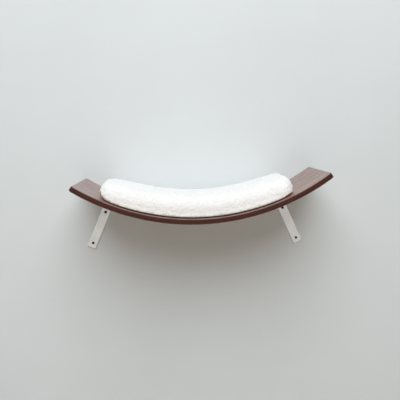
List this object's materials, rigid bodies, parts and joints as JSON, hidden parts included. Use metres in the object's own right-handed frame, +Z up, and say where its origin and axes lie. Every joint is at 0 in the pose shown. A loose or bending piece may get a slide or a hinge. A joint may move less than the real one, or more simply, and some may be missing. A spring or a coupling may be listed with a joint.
{
  "type": "cat wall shelf",
  "caption": "Curved laminated wall shelf for a cat: a bent board on angle brackets, with a removable plush cushion in its hollow.",
  "frame": {"origin": "midway between the axes of the upper wall screws, on the wall plane", "axes": "+X to the right along the wall as seen from the room, +Y into the wall, +Z up"},
  "size_m": [0.6144, 0.2867, 0.2098],
  "materials": {
    "walnut_face": "satin",
    "walnut_core": "satin",
    "bracket_paint": "satin powder coat",
    "wall_screw_steel": "black oxide",
    "shelf_screw_steel": "zinc plated",
    "insert_brass": "turned",
    "hook_tape": "hook fastener tape",
    "loop_tape": "loop fastener tape",
    "plush": "short plush pile",
    "base_cloth": "plain woven cloth",
    "foam": "open cell foam",
    "zip_tape": "woven tape",
    "zip_coil": "nylon coil",
    "zip_metal": "nickel plated"
  },
  "bodies": {
    "shelf": {"core_ply_1": "walnut_core", "core_ply_2": "walnut_core", "core_ply_3": "walnut_core", "core_ply_4": "walnut_core", "core_ply_5": "walnut_core", "left_bracket": "bracket_paint", "left_front_insert": "insert_brass", "left_front_shelf_screw": "shelf_screw_steel", "left_hook_strip": "hook_tape", "left_rear_insert": "insert_brass", "left_rear_shelf_screw": "shelf_screw_steel", "lower_face_veneer": "walnut_face", "lower_left_wall_screw": "wall_screw_steel", "lower_right_wall_screw": "wall_screw_steel", "middle_hook_strip": "hook_tape", "right_bracket": "bracket_paint", "right_front_insert": "insert_brass", "right_front_shelf_screw": "shelf_screw_steel", "right_hook_strip": "hook_tape", "right_rear_insert": "insert_brass", "right_rear_shelf_screw": "shelf_screw_steel", "upper_face_veneer": "walnut_face", "upper_left_wall_screw": "wall_screw_steel", "upper_right_wall_screw": "wall_screw_steel"},
    "cushion": {"plush_cover": "plush", "base_panel": "base_cloth", "foam_core": "foam", "upper_zip_tape": "zip_tape", "lower_zip_tape": "zip_tape", "zip_coil": "zip_coil", "left_loop_strip": "loop_tape", "middle_loop_strip": "loop_tape", "right_loop_strip": "loop_tape"},
    "zip_runner": {"zip_slider": "zip_metal"},
    "zip_tab": {"zip_pull": "zip_metal"}
  },
  "joints": [
    {"name": "cushion_lift", "type": "slide", "parent": "shelf", "child": "cushion", "axis": [0, 0, 1], "range_m": [0, 0.15]},
    {"name": "zip_slide", "type": "hinge", "parent": "cushion", "child": "zip_runner", "pos_m": [0, -0.014, 0.54336], "axis": [0, -1, 0], "range_deg": [0, 31.5]},
    {"name": "pull_swing", "type": "hinge", "parent": "zip_runner", "child": "zip_tab", "pos_m": [-0.141, -0.0101, 0.04492], "axis": [0, -1, 0], "range_deg": [-80, 80]}
  ]
}
